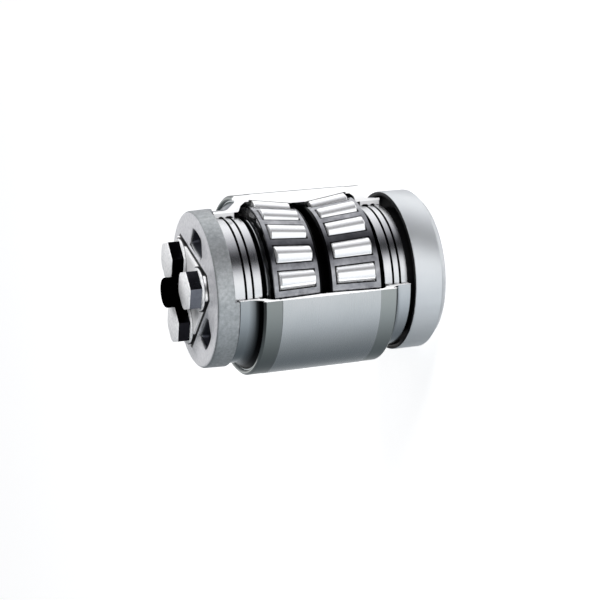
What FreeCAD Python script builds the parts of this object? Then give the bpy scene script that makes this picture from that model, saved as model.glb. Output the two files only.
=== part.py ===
# Cut-away double-row tapered roller bearing unit for a railway axle journal.
# The bearing axis is +Z. The unit stands on the flat back of its backing ring at z = 0, with the end
# cap and its three screws on top. A quarter of the cup, of both seals and of the cap skirt is cut away
# on the side of -Y, so that wear rings, cages and rollers show.
import FreeCAD, Part
import math
import os
from FreeCAD import Vector

# Driving sizes, in millimetres and degrees. A share is a part of the section, which is the distance
# from the bore to the outside of the cup.

BORE_DIAMETER = 130.0          # the axle journal
CUP_DIAMETER = 230.0           # the bore of the axle box
CUP_LENGTH = 176.0

# Cup: the outer ring of both rows
CUP_WALL_SHARE = 0.216         # outside the raceway, at the middle of a row
CUP_END_BAND = 23.0            # length of the slightly smaller band at each end
CUP_END_RELIEF = 0.4           # how much smaller that band is, on the radius
CUP_END_CHAMFER = 2.5
CUP_BORE_LAND = 10.0           # half length of the plain land between the raceways
SEAL_SEAT_SHARE = 0.12         # wall outside the counterbore that takes the pressed seal case
SEAL_SEAT_DEPTH = 22.0

# Rolling geometry: cup raceway, roller and cone raceway share one apex on the axis
CUP_RACEWAY_ANGLE = 8.5
ROW_SHARE = 0.4318             # middle of a row, as a part of half the cup's length
ROLLER_SHARE = 0.48            # mean diameter of a roller
ROLLER_LENGTH_SHARE = 0.5568   # length of a roller, as a part of half the cup's length
ROLLERS_PER_ROW = 19
ROLLER_CHAMFER = 1.2
RACE_GAP = 0.2                 # running gap between a roller and each raceway
RIB_GAP = 0.3                  # between the large roller end and the cone rib

# Cones: the two inner rings, and the spacer between them
CONE_INSET = 12.0              # of a cone's large face inside the end of the cup
CONE_SMALL_FACE = 7.0          # from the cup's middle
CONE_RIB_SHARE = 0.44          # wall of a cone at its large rib
CONE_SMALL_RIB_HEIGHT = 3.2
CONE_SMALL_RIB_WIDTH = 4.6
CONE_CHAMFER = 1.5
SPACER_WALL = 8.0
SPACER_BORE_PLAY = 0.8

# Cages: pressed conical shells with one tapered window for each roller
CAGE_WALL = 3.2
CAGE_SMALL_END = 4.9           # from the cup's middle
CAGE_INSET = 18.0              # of a cage's large end inside the end of the cup
CAGE_SMALL_SHARE = 0.21        # of the shell below the cup raceway, in roller diameters
CAGE_LARGE_SHARE = 0.283
CAGE_FLANGE_SHARE = 0.392      # inner edge of the turned-in flange at the small end, outside the bore
CAGE_BEND = 2.5                # outer radius of the bend into that flange
POCKET_PLAY = 0.3              # round a roller
POCKET_END_PLAY = 0.7          # at each end of a roller

# Wear rings: grooved sleeves that the seals run on
WEAR_RING_SHARE = 0.46         # wall of a wear ring
WEAR_NECK_SHARE = 0.30
WEAR_NECK_LENGTH = 5.0
WEAR_CHAMFER = 0.8
WEAR_BORE_PLAY = 0.8           # sliding fit on the journal, so that only the cones grip it
GROOVE_REACHES = (4.9, 14.3)   # past the end of the cup
GROOVE_WIDTH = 3.0
GROOVE_DEPTH = 2.6
INBOARD_WEAR_INSET = 1.4       # inside the end of the seal
OUTBOARD_WEAR_REACH = 6.6      # past the end of the seal

# Seals: a pressed case with a rubber lip ring in it, at each end of the cup
SEAL_TUBE_STANDOFF = 8.9       # from the wear ring to the outside of the case
SEAL_WALL = 2.9
SEAL_OVERHANG = 25.4           # past the end of the cup
SEAL_RECESS = 3.0              # of the seal face inside the end of the cup
SEAL_FLANGE_WIDTH = 5.0
SEAL_STEP = 5.2                # height of the step behind the flange, where the case widens again
SEAL_BEND = 1.5
LIP_BODY_LENGTH = 16.0
LIP_BODY_GAP = 2.0             # between the rubber body and the wear ring
LIP_GAP = 0.25                 # between a lip and the wear ring
LIP_WIDTH = 3.4                # at its root
LIP_TIP_WIDTH = 1.7

# Backing ring, which the unit stands on
BACKING_INSET = 11.0           # of its rim inside the outside of the cup
BACKING_HEIGHT = 46.0
BACKING_CHAMFER = 10.0
BACKING_RIM_WALL = 6.0
BACKING_RECESS_DEPTH = 15.0
BACKING_HUB_SHARE = 0.34       # wall of the hub
BACKING_BORE_PLAY = 1.0
BACKING_MOUTH = 15.0           # how far the bore flares out at the bottom
BACKING_FLARE_HEIGHT = 26.0
BACKING_FLARE_RADIUS = 26.0    # of the round flare
RIM_GAP = 3.6                  # between the backing ring's rim and the seal case

# End cap, a casting
CAP_STANDOFF = 3.6             # from the outside of the seal case to the outside of the cap
CAP_DRAFT = 1.0                # how much the casting narrows towards its face
CAP_THICKNESS = 23.0
CAP_EDGE_ROUND = 4.0
CAP_SKIRT_WALL = 5.5
CAP_SKIRT_GAP = 1.2            # between the skirt and the seal case
CAP_BACK_RECESS = 5.0
CAP_SEAT_LEDGE = 1.0           # how far the cap's seat reaches inside the bore
CAP_PAD_HEIGHT = 4.0           # raised triangular pad under the locking plate
CAP_PAD_LEDGE = 1.0            # of the pad's top beyond the plate
CAP_PAD_SLOPE = 9.0            # how far the pad's sides run out as they fall to the cap's face
POCKET_RIM = 21.5              # from the outer edge of the three cast pockets to the cap's outside
POCKET_STANDOFF = 5.5          # from the plate's side to the flat inner wall of a pocket
POCKET_INNER_HALF = 24.0       # half width at that wall
POCKET_OUTER_HALF = 17.0       # half width at the outer edge
POCKET_DEPTH = 11.0
POCKET_DRAFT = 3.0             # how much a pocket's walls close in towards its floor
POCKET_CORNER = 3.5

# Cap screws, locking plate and centre plug
SCREW_COUNT = 3
SCREW_INSET = 18.7             # of the screw circle inside the bore
SCREW_DIAMETER = 30.0
SCREW_LENGTH = 60.0            # under the head
SCREW_POINT = 2.5              # chamfer at the tip
SCREW_HOLE_PLAY = 0.8
HEAD_SIDES = 6
HEAD_ACROSS_FLATS = 46.0
HEAD_HEIGHT = 18.7
HEAD_CHAMFER_ANGLE = 30.0
HEAD_CHAMFER_REACH = 2.26      # from a corner of the hexagon in to the flat face
COLLAR_LEDGE = 0.34            # of the round collar outside the hexagon's corners
COLLAR_HEIGHT = 2.4
PLATE_THICKNESS = 3.0
PLATE_SIDE = 2.2               # of a side of the plate outside the screw circle
PLATE_CORNER_REACH = 28.2      # of a corner of the plate outside the screw circle
PLUG_STEM_RADIUS = 15.0
PLUG_HEIGHT = 35.0             # above the pad
PLUG_ROUND = 3.0
PLUG_PLAY = 0.3

# The quarter that is cut away, seen from above: it starts here and runs anticlockwise
WINDOW_START = -102.0
WINDOW_ANGLE = 90.0
FRONT = -90.0                  # the side that faces the viewer

# Sizes that follow from them

AXIS = Vector(0, 0, 1)
ORIGIN = Vector(0, 0, 0)
BEYOND = 20.0                  # how far a cutting tool reaches past what it cuts

BORE_RADIUS = BORE_DIAMETER / 2
CUP_RADIUS = CUP_DIAMETER / 2
SECTION = CUP_RADIUS - BORE_RADIUS
CUP_HALF = CUP_LENGTH / 2
CUP_RACEWAY_RADIUS = CUP_RADIUS - CUP_WALL_SHARE * SECTION
SEAL_SEAT_RADIUS = CUP_RADIUS - SEAL_SEAT_SHARE * SECTION
CUP_ANGLE = math.radians(CUP_RACEWAY_ANGLE)
CUP_SLOPE = math.tan(CUP_ANGLE)

ROW_OFFSET = ROW_SHARE * CUP_HALF
ROLLER_DIAMETER = ROLLER_SHARE * SECTION
ROLLER_LENGTH = ROLLER_LENGTH_SHARE * CUP_HALF
APEX = CUP_RACEWAY_RADIUS / CUP_SLOPE - ROW_OFFSET     # from the cup's middle, on the far side of the row
CONTACT = CUP_RACEWAY_RADIUS / math.sin(CUP_ANGLE)     # from the apex to a row's middle, along the raceway
ROLLER_HALF_ANGLE = math.asin((ROLLER_DIAMETER / 2 + RACE_GAP) / CONTACT)
ROLLER_TILT = CUP_ANGLE - ROLLER_HALF_ANGLE
ROLLER_MIDDLE = CONTACT * math.cos(ROLLER_HALF_ANGLE)  # from the apex, along the roller's own axis
CONE_SLOPE = math.tan(ROLLER_TILT - ROLLER_HALF_ANGLE)
CONE_LARGE_FACE = CUP_HALF - CONE_INSET                # from the cup's middle
CONE_RIB_RADIUS = BORE_RADIUS + CONE_RIB_SHARE * SECTION
CAGE_LARGE_END = CUP_HALF - CAGE_INSET                 # from the cup's middle
CAGE_FLANGE_RADIUS = BORE_RADIUS + CAGE_FLANGE_SHARE * SECTION

WEAR_RING_RADIUS = BORE_RADIUS + WEAR_RING_SHARE * SECTION
WEAR_NECK_RADIUS = BORE_RADIUS + WEAR_NECK_SHARE * SECTION
GROOVE_PLACES = [CUP_HALF + reach for reach in GROOVE_REACHES]  # from the cup's middle
SEAL_TUBE_RADIUS = WEAR_RING_RADIUS + SEAL_TUBE_STANDOFF
SEAL_END = CUP_HALF + SEAL_OVERHANG                    # from the cup's middle
INBOARD_WEAR_END = SEAL_END - INBOARD_WEAR_INSET
OUTBOARD_WEAR_END = SEAL_END + OUTBOARD_WEAR_REACH
LIP_BODY_RADIUS = WEAR_RING_RADIUS + LIP_BODY_GAP

MIDDLE = BACKING_HEIGHT + RIM_GAP + SEAL_END           # height of the cup's middle
BACKING_RADIUS = CUP_RADIUS - BACKING_INSET
BACKING_HUB_RADIUS = BORE_RADIUS + BACKING_HUB_SHARE * SECTION
BACKING_MOUTH_RADIUS = BORE_RADIUS + BACKING_MOUTH

CAP_SEAT = MIDDLE + OUTBOARD_WEAR_END
CAP_FACE = CAP_SEAT + CAP_THICKNESS
PAD_TOP = CAP_FACE + CAP_PAD_HEIGHT
PLATE_TOP = PAD_TOP + PLATE_THICKNESS
CAP_RADIUS = SEAL_TUBE_RADIUS + CAP_STANDOFF
SCREW_CIRCLE = BORE_RADIUS - SCREW_INSET
HEAD_CORNER_RADIUS = HEAD_ACROSS_FLATS / 2 / math.cos(math.pi / HEAD_SIDES)
HEAD_FACE_RADIUS = HEAD_CORNER_RADIUS - HEAD_CHAMFER_REACH
HEAD_COLLAR_RADIUS = HEAD_CORNER_RADIUS + COLLAR_LEDGE
PLATE_REACH = SCREW_CIRCLE + PLATE_SIDE
PLATE_CORNER = SCREW_CIRCLE + PLATE_CORNER_REACH
CAP_PAD_REACH = PLATE_REACH + CAP_PAD_LEDGE
CAP_PAD_CORNER = PLATE_CORNER + CAP_PAD_LEDGE
POCKET_INNER = PLATE_REACH + POCKET_STANDOFF
POCKET_RADIUS = CAP_RADIUS - POCKET_RIM
PLUG_RADIUS = SCREW_CIRCLE - HEAD_COLLAR_RADIUS - PLUG_PLAY


def cup_raceway(offset):
    """Radius of the cup raceway at a distance from the cup's middle."""
    return (offset + APEX) * CUP_SLOPE


def cone_raceway(offset):
    """Radius of the cone raceway at a distance from the cup's middle."""
    return (offset + APEX) * CONE_SLOPE


def roller_radius(along, play=0.0):
    """Radius of a roller, or of the room round it, at a distance from the apex along its axis."""
    return along * math.tan(ROLLER_HALF_ANGLE) - RACE_GAP + play


def cage_radius(offset):
    """Outer radius of the cage shell at a distance from the cup's middle."""
    share = (offset - CAGE_SMALL_END) / (CAGE_LARGE_END - CAGE_SMALL_END)
    drop = CAGE_SMALL_SHARE + share * (CAGE_LARGE_SHARE - CAGE_SMALL_SHARE)
    return cup_raceway(offset) - drop * ROLLER_DIAMETER


def outline(points):
    """Closed wire in the XZ plane through (x, z) points; a third value rounds that corner."""
    places = [Vector(point[0], 0, point[1]) for point in points]
    spans = []
    for i, point in enumerate(points):
        if len(point) < 3:
            spans.append((places[i], None, places[i]))
            continue
        back = (places[i - 1] - places[i]).normalize()
        on = (places[(i + 1) % len(points)] - places[i]).normalize()
        half = back.getAngle(on) / 2
        reach = point[2] / math.tan(half)
        inward = point[2] / math.sin(half) - point[2]
        spans.append((places[i] + back * reach, places[i] + (back + on).normalize() * inward,
                      places[i] + on * reach))
    edges = []
    for i, (start, bend, end) in enumerate(spans):
        if bend:
            edges.append(Part.Arc(start, bend, end).toShape())
        edges.append(Part.LineSegment(end, spans[(i + 1) % len(spans)][0]).toShape())
    return Part.Wire(edges)


def turned(points):
    """Solid of revolution about the Z axis from an outline of (radius, height) points."""
    return Part.Face(outline(points)).revolve(ORIGIN, AXIS, 360)


def on_side(side, points):
    """Outline points given as (radius, distance from the cup's middle), put on one side of it."""
    return [(p[0], MIDDLE + side * p[1]) + tuple(p[2:]) for p in points]


def cut_window(shape, low, high):
    """Take the quarter window out of a shape between two heights."""
    reach = CUP_RADIUS + BEYOND
    wedge = Part.makeCylinder(reach, high - low, Vector(0, 0, low), AXIS, WINDOW_ANGLE)
    wedge.rotate(ORIGIN, AXIS, WINDOW_START)
    return shape.cut(wedge)


def turn_about_axis(shape, angle):
    """Copy of a shape turned about the bearing axis."""
    copy = shape.copy()
    copy.rotate(ORIGIN, AXIS, angle)
    return copy


def polygon_prism(corners, low, high):
    """Upright prism on (x, y) corners between two heights."""
    wire = Part.makePolygon([Vector(x, y, low) for x, y in corners] + [Vector(*corners[0], low)])
    return Part.Face(wire).extrude(Vector(0, 0, high - low))


def polar(radius, angle):
    """Point in plan at a radius and an angle in degrees."""
    return (radius * math.cos(math.radians(angle)), radius * math.sin(math.radians(angle)))


def screw_angles():
    """Angles of the cap screws: one faces the viewer, the rest follow evenly."""
    return [FRONT + i * 360.0 / SCREW_COUNT for i in range(SCREW_COUNT)]


def side_angles():
    """Angles halfway between the screws, where the triangle's sides and the pockets are."""
    return [angle + 180.0 / SCREW_COUNT for angle in screw_angles()]


def triangle(reach, corner_radius, low, high, slope=0.0):
    """Plate whose sides lie between the screws, its corners turned off round; it may widen downwards."""
    layers = []
    for level, extra in ((low, slope), (high, 0.0)):
        far = (reach + extra) / math.cos(math.pi / SCREW_COUNT)
        corners = [Vector(*polar(far, angle), level) for angle in screw_angles()]
        layers.append(Part.makePolygon(corners + corners[:1]))
    body = Part.makeLoft(layers, True, True)
    return body.common(turned([(0, low), (corner_radius + slope, low), (corner_radius, high), (0, high)]))


def screw_holes(low, high):
    """Clearance holes for the cap screws, as one cutting tool."""
    radius = SCREW_DIAMETER / 2 + SCREW_HOLE_PLAY
    return [Part.makeCylinder(radius, high - low, Vector(*polar(SCREW_CIRCLE, angle), low))
            for angle in screw_angles()]


def make_cup():
    half = CUP_HALF
    band = half - CUP_END_BAND
    seat = half - SEAL_SEAT_DEPTH
    slim = CUP_RADIUS - CUP_END_RELIEF
    upper = [
        (cup_raceway(CUP_BORE_LAND), 0),
        (cup_raceway(CUP_BORE_LAND), CUP_BORE_LAND),
        (cup_raceway(seat), seat),
        (SEAL_SEAT_RADIUS, seat),
        (SEAL_SEAT_RADIUS, half - CUP_END_CHAMFER / 2),
        (SEAL_SEAT_RADIUS + CUP_END_CHAMFER / 2, half),
        (slim - CUP_END_CHAMFER, half),
        (slim, half - CUP_END_CHAMFER),
        (slim, band),
        (CUP_RADIUS, band - CUP_END_RELIEF),
    ]
    lower = [(radius, -height) for radius, height in reversed(upper[1:])]
    shape = turned(on_side(1, upper + lower))
    return cut_window(shape, MIDDLE - half - BEYOND, MIDDLE + half + BEYOND)


def make_cone(side):
    # the rib face stands square to the roller axis, a gap away from the large roller end
    lean = math.tan(ROLLER_TILT)
    face = (ROLLER_MIDDLE + ROLLER_LENGTH / 2 + RIB_GAP) / math.cos(ROLLER_TILT)
    foot_radius = face * CONE_SLOPE / (1 + CONE_SLOPE * lean)
    foot = face - APEX - foot_radius * lean
    lip = face - APEX - CONE_RIB_RADIUS * lean
    small_rib = CONE_SMALL_FACE + CONE_SMALL_RIB_WIDTH
    small_radius = cone_raceway(small_rib) + CONE_SMALL_RIB_HEIGHT
    points = [
        (BORE_RADIUS + CONE_CHAMFER, CONE_SMALL_FACE),
        (small_radius, CONE_SMALL_FACE),
        (small_radius, small_rib),
        (cone_raceway(small_rib), small_rib),
        (foot_radius, foot),
        (CONE_RIB_RADIUS, lip),
        (CONE_RIB_RADIUS, CONE_LARGE_FACE - CONE_CHAMFER),
        (CONE_RIB_RADIUS - CONE_CHAMFER, CONE_LARGE_FACE),
        (BORE_RADIUS + CONE_CHAMFER, CONE_LARGE_FACE),
        (BORE_RADIUS, CONE_LARGE_FACE - CONE_CHAMFER),
        (BORE_RADIUS, CONE_SMALL_FACE + CONE_CHAMFER),
    ]
    return turned(on_side(side, points))


def make_spacer():
    inner = BORE_RADIUS + SPACER_BORE_PLAY
    outer = inner + SPACER_WALL
    return turned([(inner, MIDDLE - CONE_SMALL_FACE), (outer, MIDDLE - CONE_SMALL_FACE),
                   (outer, MIDDLE + CONE_SMALL_FACE), (inner, MIDDLE + CONE_SMALL_FACE)])


def roller_form(play=0.0, end_play=0.0, chamfer=0.0):
    """A roller about the Z axis with the apex at the origin, or the room that it needs."""
    low = ROLLER_MIDDLE - ROLLER_LENGTH / 2 - end_play
    high = ROLLER_MIDDLE + ROLLER_LENGTH / 2 + end_play
    thin, thick = roller_radius(low, play), roller_radius(high, play)
    points = [(0, low), (thin - chamfer, low), (thin, low + chamfer),
              (thick, high - chamfer), (thick - chamfer, high), (0, high)]
    if not chamfer:
        points = [(0, low), (thin, low), (thick, high), (0, high)]
    return turned(points)


def set_in_row(form, side, angle):
    """Tilt a form that lies on the Z axis into its place in a row, at an angle about the bearing."""
    shape = form.copy()
    flip = 0 if side > 0 else 180
    shape.rotate(ORIGIN, Vector(1, 0, 0), flip)
    shape.rotate(ORIGIN, Vector(0, 1, 0), side * math.degrees(ROLLER_TILT))
    shape.translate(Vector(0, 0, MIDDLE - side * APEX))
    shape.rotate(ORIGIN, AXIS, angle)
    return shape


def roller_angle(index):
    """Angle of a roller about the bearing: the first one faces the viewer."""
    return FRONT + index * 360.0 / ROLLERS_PER_ROW


def make_roller(side, index):
    return set_in_row(roller_form(chamfer=ROLLER_CHAMFER), side, roller_angle(index))


def make_cage(side):
    """Pressed shell with a turned-in flange at the small end and a tapered window for each roller."""
    small, large = CAGE_SMALL_END, CAGE_LARGE_END
    bend = small + CAGE_WALL
    points = [
        (CAGE_FLANGE_RADIUS, small),
        (cage_radius(small), small, CAGE_BEND),
        (cage_radius(large), large),
        (cage_radius(large) - CAGE_WALL, large),
        (cage_radius(bend) - CAGE_WALL, bend),
        (CAGE_FLANGE_RADIUS, bend),
    ]
    shell = turned(on_side(side, points))
    room = roller_form(play=POCKET_PLAY, end_play=POCKET_END_PLAY)
    pockets = [set_in_row(room, side, roller_angle(i)) for i in range(ROLLERS_PER_ROW)]
    return shell.cut(pockets)


def make_wear_ring(side, end):
    """Sleeve between a cone and what clamps it, with grooves in the stretch under the seal."""
    neck = CONE_LARGE_FACE + WEAR_NECK_LENGTH
    outer = WEAR_RING_RADIUS
    bore = BORE_RADIUS + WEAR_BORE_PLAY
    points = [
        (bore + WEAR_CHAMFER, CONE_LARGE_FACE),
        (WEAR_NECK_RADIUS, CONE_LARGE_FACE),
        (WEAR_NECK_RADIUS, neck),
        (outer - WEAR_CHAMFER, neck),
        (outer, neck + WEAR_CHAMFER),
    ]
    for place in GROOVE_PLACES:
        points += [(outer, place - GROOVE_WIDTH / 2), (outer - GROOVE_DEPTH, place - GROOVE_WIDTH / 2),
                   (outer - GROOVE_DEPTH, place + GROOVE_WIDTH / 2), (outer, place + GROOVE_WIDTH / 2)]
    points += [(outer, end), (bore + WEAR_CHAMFER, end), (bore, end - WEAR_CHAMFER),
               (bore, CONE_LARGE_FACE + WEAR_CHAMFER)]
    return turned(on_side(side, points))


def make_seal_case(side):
    """Pressed case: a flange in the cup's counterbore and a tube that runs out over the wear ring."""
    face = CUP_HALF - SEAL_RECESS
    seat = CUP_HALF - SEAL_SEAT_DEPTH
    inside = SEAL_TUBE_RADIUS - SEAL_WALL
    back = face - SEAL_FLANGE_WIDTH
    points = [
        (SEAL_SEAT_RADIUS, seat),
        (SEAL_SEAT_RADIUS, face),
        (SEAL_TUBE_RADIUS, face, SEAL_BEND),
        (SEAL_TUBE_RADIUS, SEAL_END),
        (inside, SEAL_END),
        (inside, back),
        ((inside + SEAL_SEAT_RADIUS) / 2, back - SEAL_WALL),
        (SEAL_SEAT_RADIUS - SEAL_WALL, seat + SEAL_STEP),
        (SEAL_SEAT_RADIUS - SEAL_WALL, seat),
    ]
    shape = turned(on_side(side, points))
    return cut_window(shape, MIDDLE - SEAL_END - BEYOND, MIDDLE + SEAL_END + BEYOND)


def make_seal_lip(side):
    """Rubber ring bonded in the seal case, with two lips that all but touch the wear ring."""
    outer = SEAL_TUBE_RADIUS - SEAL_WALL
    start = CUP_HALF - SEAL_RECESS + SEAL_WALL / 2
    end = start + LIP_BODY_LENGTH
    tip = WEAR_RING_RADIUS + LIP_GAP
    middle = sum(GROOVE_PLACES) / 2
    points = [
        (outer, start),
        (tip, start),
        (tip, start + LIP_TIP_WIDTH),
        (LIP_BODY_RADIUS, start + LIP_WIDTH),
        (LIP_BODY_RADIUS, middle - LIP_WIDTH),
        (tip, middle - LIP_TIP_WIDTH / 2),
        (tip, middle + LIP_TIP_WIDTH / 2),
        (LIP_BODY_RADIUS, middle + LIP_WIDTH),
        (LIP_BODY_RADIUS, end),
        (outer, end),
    ]
    shape = turned(on_side(side, points))
    return cut_window(shape, MIDDLE - SEAL_END - BEYOND, MIDDLE + SEAL_END + BEYOND)


def make_backing_ring():
    """Ring that seats on the axle's shoulder: an open rim round a hub that carries the wear ring."""
    hub_top = MIDDLE - INBOARD_WEAR_END
    floor = BACKING_HEIGHT - BACKING_RECESS_DEPTH
    bore = BORE_RADIUS + BACKING_BORE_PLAY
    rim = BACKING_RADIUS - BACKING_RIM_WALL
    points = [
        (BACKING_MOUTH_RADIUS, 0),
        (bore, BACKING_FLARE_HEIGHT, BACKING_FLARE_RADIUS),
        (bore, hub_top),
        (BACKING_HUB_RADIUS, hub_top),
        (BACKING_HUB_RADIUS, floor),
        (rim, floor),
        (rim, BACKING_HEIGHT),
        (BACKING_RADIUS - WEAR_CHAMFER, BACKING_HEIGHT),
        (BACKING_RADIUS, BACKING_HEIGHT - WEAR_CHAMFER),
        (BACKING_RADIUS, BACKING_CHAMFER),
        (BACKING_RADIUS - BACKING_CHAMFER, 0),
    ]
    return turned(points)


def make_pocket(angle):
    """Room of one cast pocket: flat towards the axis, round outside, with drafted walls."""
    layers = []
    for level in (CAP_FACE - POCKET_DEPTH, PAD_TOP):
        shrink = POCKET_DRAFT * (CAP_FACE - level) / POCKET_DEPTH
        near, far = POCKET_INNER + shrink, POCKET_RADIUS - shrink
        inner, outer = POCKET_INNER_HALF - shrink, POCKET_OUTER_HALF - shrink
        reach = math.sqrt(far ** 2 - outer ** 2)
        ends = [Vector(reach, -outer, level), Vector(reach, outer, level),
                Vector(near, inner, level), Vector(near, -inner, level)]
        sides = [Part.LineSegment(ends[i], ends[(i + 1) % len(ends)]).toShape() for i in (1, 2, 3)]
        layers.append(Part.Wire([Part.Arc(ends[0], Vector(far, 0, level), ends[1]).toShape()] + sides))
    room = Part.makeLoft(layers, True, True)
    rising = [edge for edge in room.Edges
              if abs(edge.Vertexes[0].Z - edge.Vertexes[-1].Z) > POCKET_DEPTH]
    return turn_about_axis(room.makeFillet(POCKET_CORNER, rising), angle)


def make_end_cap():
    """Cast cap: a thick disc on the wear ring, with a skirt, pockets and a raised triangular pad."""
    skirt_end = MIDDLE + SEAL_END + CAP_SKIRT_GAP
    inner = CAP_RADIUS - CAP_SKIRT_WALL
    recess = BORE_RADIUS - CAP_SEAT_LEDGE
    points = [
        (0, CAP_SEAT + CAP_BACK_RECESS),
        (recess, CAP_SEAT + CAP_BACK_RECESS),
        (recess, CAP_SEAT),
        (inner, CAP_SEAT),
        (inner, skirt_end),
        (CAP_RADIUS, skirt_end),
        (CAP_RADIUS - CAP_DRAFT, CAP_FACE, CAP_EDGE_ROUND),
        (0, CAP_FACE),
    ]
    shape = cut_window(turned(points), skirt_end - BEYOND, CAP_SEAT)
    shape = shape.fuse(triangle(CAP_PAD_REACH, CAP_PAD_CORNER, CAP_FACE, PAD_TOP, CAP_PAD_SLOPE))
    shape = shape.cut([make_pocket(angle) for angle in side_angles()])
    centre = Part.makeCylinder(PLUG_STEM_RADIUS + PLUG_PLAY, PAD_TOP - CAP_SEAT, Vector(0, 0, CAP_SEAT))
    return shape.cut(screw_holes(CAP_SEAT - BEYOND, PAD_TOP + BEYOND) + [centre]).removeSplitter()


def make_locking_plate():
    """Flat triangular sheet that lies under the collars of all three screws."""
    plate = triangle(PLATE_REACH, PLATE_CORNER, PAD_TOP, PLATE_TOP)
    centre = Part.makeCylinder(PLUG_RADIUS + PLUG_PLAY, PLATE_THICKNESS, Vector(0, 0, PAD_TOP))
    return plate.cut(screw_holes(PAD_TOP - BEYOND, PLATE_TOP + BEYOND) + [centre])


def make_cap_screw(angle):
    """Hexagon screw with a collar and a chamfered head; a corner of each head faces the viewer."""
    top = PLATE_TOP + HEAD_HEIGHT
    tip = PLATE_TOP - SCREW_LENGTH
    radius = SCREW_DIAMETER / 2
    drop = (HEAD_CORNER_RADIUS - HEAD_FACE_RADIUS) * math.tan(math.radians(HEAD_CHAMFER_ANGLE))
    corners = [polar(HEAD_CORNER_RADIUS, FRONT + i * 360.0 / HEAD_SIDES) for i in range(HEAD_SIDES)]
    head = polygon_prism(corners, PLATE_TOP, top)
    crown = turned([(0, PLATE_TOP), (HEAD_CORNER_RADIUS, PLATE_TOP), (HEAD_CORNER_RADIUS, top - drop),
                    (HEAD_FACE_RADIUS, top), (0, top)])
    shank = turned([(0, tip), (radius - SCREW_POINT, tip), (radius, tip + SCREW_POINT),
                    (radius, PLATE_TOP), (0, PLATE_TOP)])
    collar = Part.makeCylinder(HEAD_COLLAR_RADIUS, COLLAR_HEIGHT, Vector(0, 0, PLATE_TOP))
    screw = head.common(crown).fuse([collar, shank]).removeSplitter()
    screw.translate(Vector(*polar(SCREW_CIRCLE, angle), 0))
    return screw


def make_centre_plug():
    """Round plug that closes the hole in the middle of the cap."""
    top = PAD_TOP + PLUG_HEIGHT
    return turned([(0, CAP_SEAT + CAP_BACK_RECESS), (PLUG_STEM_RADIUS, CAP_SEAT + CAP_BACK_RECESS),
                   (PLUG_STEM_RADIUS, PAD_TOP), (PLUG_RADIUS, PAD_TOP), (PLUG_RADIUS, top, PLUG_ROUND),
                   (0, top)])


def build():
    """All pieces of the unit, by the name of their file."""
    pieces = {
        "backing_ring": make_backing_ring(),
        "cone_spacer": make_spacer(),
        "cup": make_cup(),
        "end_cap": make_end_cap(),
        "locking_plate": make_locking_plate(),
        "centre_plug": make_centre_plug(),
    }
    for number, angle in enumerate(screw_angles(), 1):
        pieces["cap_screw_%d" % number] = make_cap_screw(angle)
    for name, side, wear_end in (("inboard", -1, INBOARD_WEAR_END), ("outboard", 1, OUTBOARD_WEAR_END)):
        pieces["cone_" + name] = make_cone(side)
        pieces["cage_" + name] = make_cage(side)
        pieces["wear_ring_" + name] = make_wear_ring(side, wear_end)
        pieces["seal_case_" + name] = make_seal_case(side)
        pieces["seal_lip_" + name] = make_seal_lip(side)
        for index in range(ROLLERS_PER_ROW):
            pieces["roller_%s_%02d" % (name, index + 1)] = make_roller(side, index)
    return pieces


os.makedirs("parts", exist_ok=True)
for part_name, part_shape in build().items():
    part_shape.exportStep("parts/%s.step" % part_name)
    print("%-22s volume %10.0f valid %s solids %d"
          % (part_name, part_shape.Volume, part_shape.isValid(), len(part_shape.Solids)))
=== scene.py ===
import math

import bmesh
import bpy
import numpy as np
from mathutils import Matrix, Vector


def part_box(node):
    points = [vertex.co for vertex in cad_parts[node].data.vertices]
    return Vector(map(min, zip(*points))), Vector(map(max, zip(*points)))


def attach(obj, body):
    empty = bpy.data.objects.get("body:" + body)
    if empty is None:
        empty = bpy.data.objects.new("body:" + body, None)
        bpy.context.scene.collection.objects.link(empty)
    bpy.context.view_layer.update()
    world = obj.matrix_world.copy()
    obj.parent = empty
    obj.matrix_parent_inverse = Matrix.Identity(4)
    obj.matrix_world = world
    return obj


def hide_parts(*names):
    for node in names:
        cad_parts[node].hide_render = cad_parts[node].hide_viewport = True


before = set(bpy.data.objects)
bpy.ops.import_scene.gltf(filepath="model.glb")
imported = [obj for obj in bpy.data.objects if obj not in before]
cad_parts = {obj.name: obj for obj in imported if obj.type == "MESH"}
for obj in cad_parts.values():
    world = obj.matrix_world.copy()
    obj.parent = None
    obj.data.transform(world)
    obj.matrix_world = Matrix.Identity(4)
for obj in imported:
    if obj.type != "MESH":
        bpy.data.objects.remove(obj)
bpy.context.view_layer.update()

# The bearing axis is +Z, the cap end is up, and the quarter that is cut away faces -Y and +X.
# Sizes are in metres, and angles in degrees about the axis.

MM = 0.001

# Cup and cut-away
CUP_LOW, CUP_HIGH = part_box("cup")[0][2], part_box("cup")[1][2]
CUP_HALF = (CUP_HIGH - CUP_LOW) / 2
MIDDLE = (CUP_LOW + CUP_HIGH) / 2
CUP_END_BAND = 23 * MM           # length of the duller band at each end of the cup
WINDOW_START = -102.0            # the cut-away quarter starts here and runs anticlockwise
WINDOW_ANGLE = 90.0
CUT_SLACK = 0.06 * MM            # how near to a cutting plane a point is still on the cut
# Saw cuts: milled metal, drawn near white and non-metallic as painted light
CUT_PAINTED_LIGHT_COLOUR, CUT_ROUGHNESS, CUT_METAL = "#fdfdfd", 0.5, 0.0

# Where a turned piece changes its finish or its painted shade, each set off a little from the surface itself
GROOVE_TOP = 87.6 * MM           # radius: a wear ring is ground above it, and a groove below it
CONE_RIB_TOP = 86.5 * MM         # radius: above it is the outside of a cone's large rib
CONE_RIB_SHOWN = 70 * MM         # from the cup's middle, where the cage ends and the rib shows
RECESS_WALL = 98.1 * MM          # radius of the backing ring's open recess
RECESS_FLOOR = 30.5 * MM         # height, just under the recess's floor
RIM_EDGE = 45.8 * MM             # height: above it is the end of the backing ring's rim

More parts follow.
